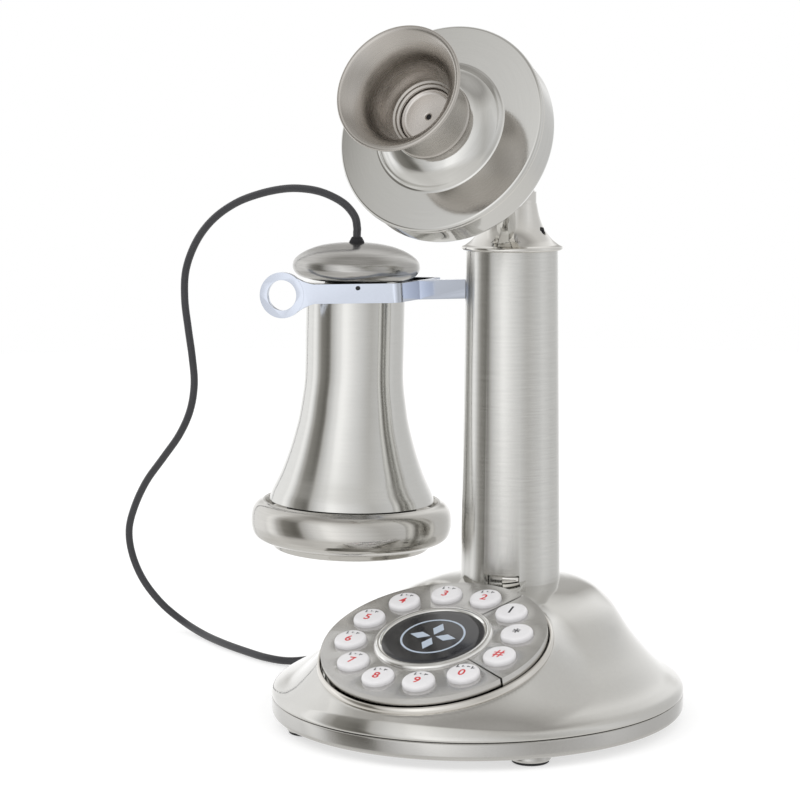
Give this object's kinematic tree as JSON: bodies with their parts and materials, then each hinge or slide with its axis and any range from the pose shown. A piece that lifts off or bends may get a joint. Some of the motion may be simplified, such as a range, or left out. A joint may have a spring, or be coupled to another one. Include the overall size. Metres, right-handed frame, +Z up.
{
  "type": "telephone",
  "caption": "Candlestick telephone in brushed nickel with a round push-key base, tilting mouthpiece head and a bell-shaped receiver hanging on a fork hook.",
  "frame": {"origin": "centre of the oval base on the floor it stands on", "axes": "+Z up, the key ring and mouthpiece face -Y, the receiver hangs on the -X side"},
  "size_m": [0.3012, 0.178, 0.2788],
  "materials": {
    "nickel": "fine brushed warm nickel",
    "bright_nickel": "polished nickel",
    "dial_nickel": "darker satin nickel",
    "horn_nickel": "turned nickel",
    "cap_nickel": "turned nickel",
    "chrome": "bright chrome",
    "hook_chrome": "bright cool chrome",
    "screw_steel": "plain steel",
    "black_steel": "blackened",
    "iron": "rough cast",
    "key_white": "glossy white",
    "black_enamel": "glossy black",
    "pale_print": "pale grey print",
    "black_plastic": "moulded black",
    "board": "green board",
    "rubber": "soft black",
    "cord_rubber": "smooth dark grey"
  },
  "bodies": {
    "stand": {"base_plate": "nickel", "feet": "nickel", "base_screws": "screw_steel", "base_shell": "nickel", "ballast": "iron", "sounder": "black_plastic", "dial_bezel": "bright_nickel", "dial_tray": "black_plastic", "dial_plate": "dial_nickel", "side_plate": "dial_nickel", "medallion_ring": "chrome", "medallion_disc": "black_enamel", "medallion_motif": "pale_print", "key_mat": "rubber", "circuit_board": "board", "column": "nickel", "column_latch": "chrome", "tie_rod": "screw_steel", "collar": "bright_nickel", "set_screws": "black_steel", "neck": "bright_nickel", "tilt_screw": "screw_steel", "hook_pin": "screw_steel", "hook_switch": "black_plastic", "cord": "cord_rubber", "cord_gland": "rubber", "line_socket": "black_plastic"},
    "hook": {"hook_lever": "hook_chrome", "hook_stud": "black_steel"},
    "head": {"head_cup": "nickel", "face_plate": "nickel", "mouthpiece": "horn_nickel", "mic_grille": "bright_nickel", "mic_capsule": "black_plastic"},
    "receiver": {"receiver_dome": "nickel", "receiver_body": "nickel", "ear_cap": "cap_nickel", "ear_capsule": "black_plastic", "cord_grommet": "rubber"},
    "key_1": {"key_1": "key_white"},
    "key_2": {"key_2": "key_white"},
    "key_3": {"key_3": "key_white"},
    "key_4": {"key_4": "key_white"},
    "key_5": {"key_5": "key_white"},
    "key_6": {"key_6": "key_white"},
    "key_7": {"key_7": "key_white"},
    "key_8": {"key_8": "key_white"},
    "key_9": {"key_9": "key_white"},
    "key_0": {"key_0": "key_white"},
    "key_star": {"key_star": "key_white"},
    "key_hash": {"key_hash": "key_white"}
  },
  "joints": [
    {"name": "receiver_off", "type": "slide", "parent": "stand", "child": "receiver", "axis": [-1, 0, 0], "range_m": [0, 0.058]},
    {"name": "hook_rise", "type": "hinge", "parent": "stand", "child": "hook", "pos_m": [0, 0.032, 0.1732], "axis": [0, 1, 0], "range_deg": [0, 2]},
    {"name": "head_tilt", "type": "hinge", "parent": "stand", "child": "head", "pos_m": [0, 0.018, 0.217], "axis": [1, 0, 0], "range_deg": [-20, 20]},
    {"name": "key_1_press", "type": "slide", "parent": "stand", "child": "key_1", "axis": [0, 0.3206, -0.9472], "range_m": [0, 0.0015], "stiffness_N_per_m": 400},
    {"name": "key_2_press", "type": "slide", "parent": "stand", "child": "key_2", "axis": [0, 0.3206, -0.9472], "range_m": [0, 0.0015], "stiffness_N_per_m": 400},
    {"name": "key_3_press", "type": "slide", "parent": "stand", "child": "key_3", "axis": [0, 0.3206, -0.9472], "range_m": [0, 0.0015], "stiffness_N_per_m": 400},
    {"name": "key_4_press", "type": "slide", "parent": "stand", "child": "key_4", "axis": [0, 0.3206, -0.9472], "range_m": [0, 0.0015], "stiffness_N_per_m": 400},
    {"name": "key_5_press", "type": "slide", "parent": "stand", "child": "key_5", "axis": [0, 0.3206, -0.9472], "range_m": [0, 0.0015], "stiffness_N_per_m": 400},
    {"name": "key_6_press", "type": "slide", "parent": "stand", "child": "key_6", "axis": [0, 0.3206, -0.9472], "range_m": [0, 0.0015], "stiffness_N_per_m": 400},
    {"name": "key_7_press", "type": "slide", "parent": "stand", "child": "key_7", "axis": [0, 0.3206, -0.9472], "range_m": [0, 0.0015], "stiffness_N_per_m": 400},
    {"name": "key_8_press", "type": "slide", "parent": "stand", "child": "key_8", "axis": [0, 0.3206, -0.9472], "range_m": [0, 0.0015], "stiffness_N_per_m": 400},
    {"name": "key_9_press", "type": "slide", "parent": "stand", "child": "key_9", "axis": [0, 0.3206, -0.9472], "range_m": [0, 0.0015], "stiffness_N_per_m": 400},
    {"name": "key_0_press", "type": "slide", "parent": "stand", "child": "key_0", "axis": [0, 0.3206, -0.9472], "range_m": [0, 0.0015], "stiffness_N_per_m": 400},
    {"name": "key_star_press", "type": "slide", "parent": "stand", "child": "key_star", "axis": [0, 0.3206, -0.9472], "range_m": [0, 0.0015], "stiffness_N_per_m": 400},
    {"name": "key_hash_press", "type": "slide", "parent": "stand", "child": "key_hash", "axis": [0, 0.3206, -0.9472], "range_m": [0, 0.0015], "stiffness_N_per_m": 400}
  ],
  "couplings": [
    {"joint": "hook_rise", "follows": "receiver_off", "rad_per_m": 0.6}
  ]
}
